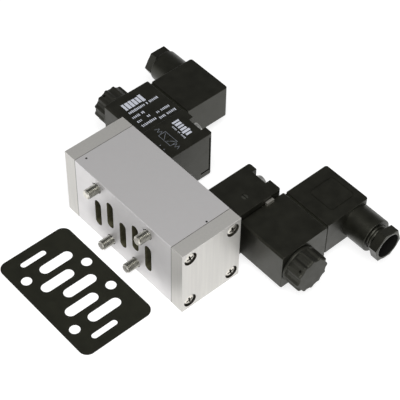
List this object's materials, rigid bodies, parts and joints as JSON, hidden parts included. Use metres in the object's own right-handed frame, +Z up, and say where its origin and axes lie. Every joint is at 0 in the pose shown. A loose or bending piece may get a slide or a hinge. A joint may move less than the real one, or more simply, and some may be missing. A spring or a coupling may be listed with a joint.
{
  "type": "double solenoid pneumatic valve",
  "caption": "Spool valve with pilot solenoids and cable plugs, and a loose sub-base gasket. It lies on its side, with its port slots and screw ends to the front.",
  "frame": {"origin": "centre of the port pattern on the mounting face", "axes": "+X along the spool to the right-hand cover, +Y from the mounting face towards the solenoids, +Z up as the valve lies"},
  "size_m": [0.1639, 0.1457, 0.0396],
  "materials": {
    "cast_body": "satin",
    "cover_metal": "satin",
    "zinc_steel": "satin",
    "spool_metal": "satin",
    "black_rubber": "matte",
    "black_plastic": "satin",
    "bright_steel": "satin",
    "tinned_brass": "satin"
  },
  "bodies": {
    "valve": {"armature_tube_left": "bright_steel", "armature_tube_right": "bright_steel", "coil_body_left": "black_plastic", "coil_body_right": "black_plastic", "coil_nut_left": "black_plastic", "coil_nut_right": "black_plastic", "coil_terminals_left": "tinned_brass", "coil_terminals_right": "tinned_brass", "coil_yoke_left": "bright_steel", "coil_yoke_right": "bright_steel", "end_cover_gasket_left": "black_rubber", "end_cover_gasket_right": "black_rubber", "end_cover_left": "cover_metal", "end_cover_right": "cover_metal", "end_cover_screws_left": "zinc_steel", "end_cover_screws_right": "zinc_steel", "gland_nut_left": "black_plastic", "gland_nut_right": "black_plastic", "gland_seal_left": "black_rubber", "gland_seal_right": "black_rubber", "mounting_screws": "zinc_steel", "pilot_body_left": "black_plastic", "pilot_body_right": "black_plastic", "pilot_gasket_left": "black_rubber", "pilot_gasket_right": "black_rubber", "pilot_screws_left": "zinc_steel", "pilot_screws_right": "zinc_steel", "plug_gasket_left": "black_rubber", "plug_gasket_right": "black_rubber", "plug_housing_left": "black_plastic", "plug_housing_right": "black_plastic", "plug_insert_left": "black_plastic", "plug_insert_right": "black_plastic", "plug_screw_left": "zinc_steel", "plug_screw_right": "zinc_steel", "plunger_spring_left": "bright_steel", "plunger_spring_right": "bright_steel", "subbase_gasket": "black_rubber", "valve_body": "cast_body"},
    "spool": {"spool": "spool_metal"},
    "plunger_left": {"plunger_left": "bright_steel"},
    "override_left": {"manual_override_left": "bright_steel"},
    "plunger_right": {"plunger_right": "bright_steel"},
    "override_right": {"manual_override_right": "bright_steel"}
  },
  "joints": [
    {"name": "spool_shift", "type": "slide", "parent": "valve", "child": "spool", "axis": [1, 0, 0], "range_m": [0, 0.004]},
    {"name": "plunger_lift_left", "type": "slide", "parent": "valve", "child": "plunger_left", "axis": [-1, 0, 0], "range_m": [0, 0.0008], "stiffness_N_per_m": 500, "springref_m": -0.004, "deforming": ["plunger_spring_left"]},
    {"name": "override_turn_left", "type": "hinge", "parent": "valve", "child": "override_left", "pos_m": [-0.0271, 0.0503, -0.014], "axis": [0, 0, 1], "range_deg": [0, 90]},
    {"name": "plunger_lift_right", "type": "slide", "parent": "valve", "child": "plunger_right", "axis": [1, 0, 0], "range_m": [0, 0.0008], "stiffness_N_per_m": 500, "springref_m": -0.004, "deforming": ["plunger_spring_right"]},
    {"name": "override_turn_right", "type": "hinge", "parent": "valve", "child": "override_right", "pos_m": [0.0271, 0.0503, 0.006], "axis": [0, 0, -1], "range_deg": [0, 90]}
  ]
}
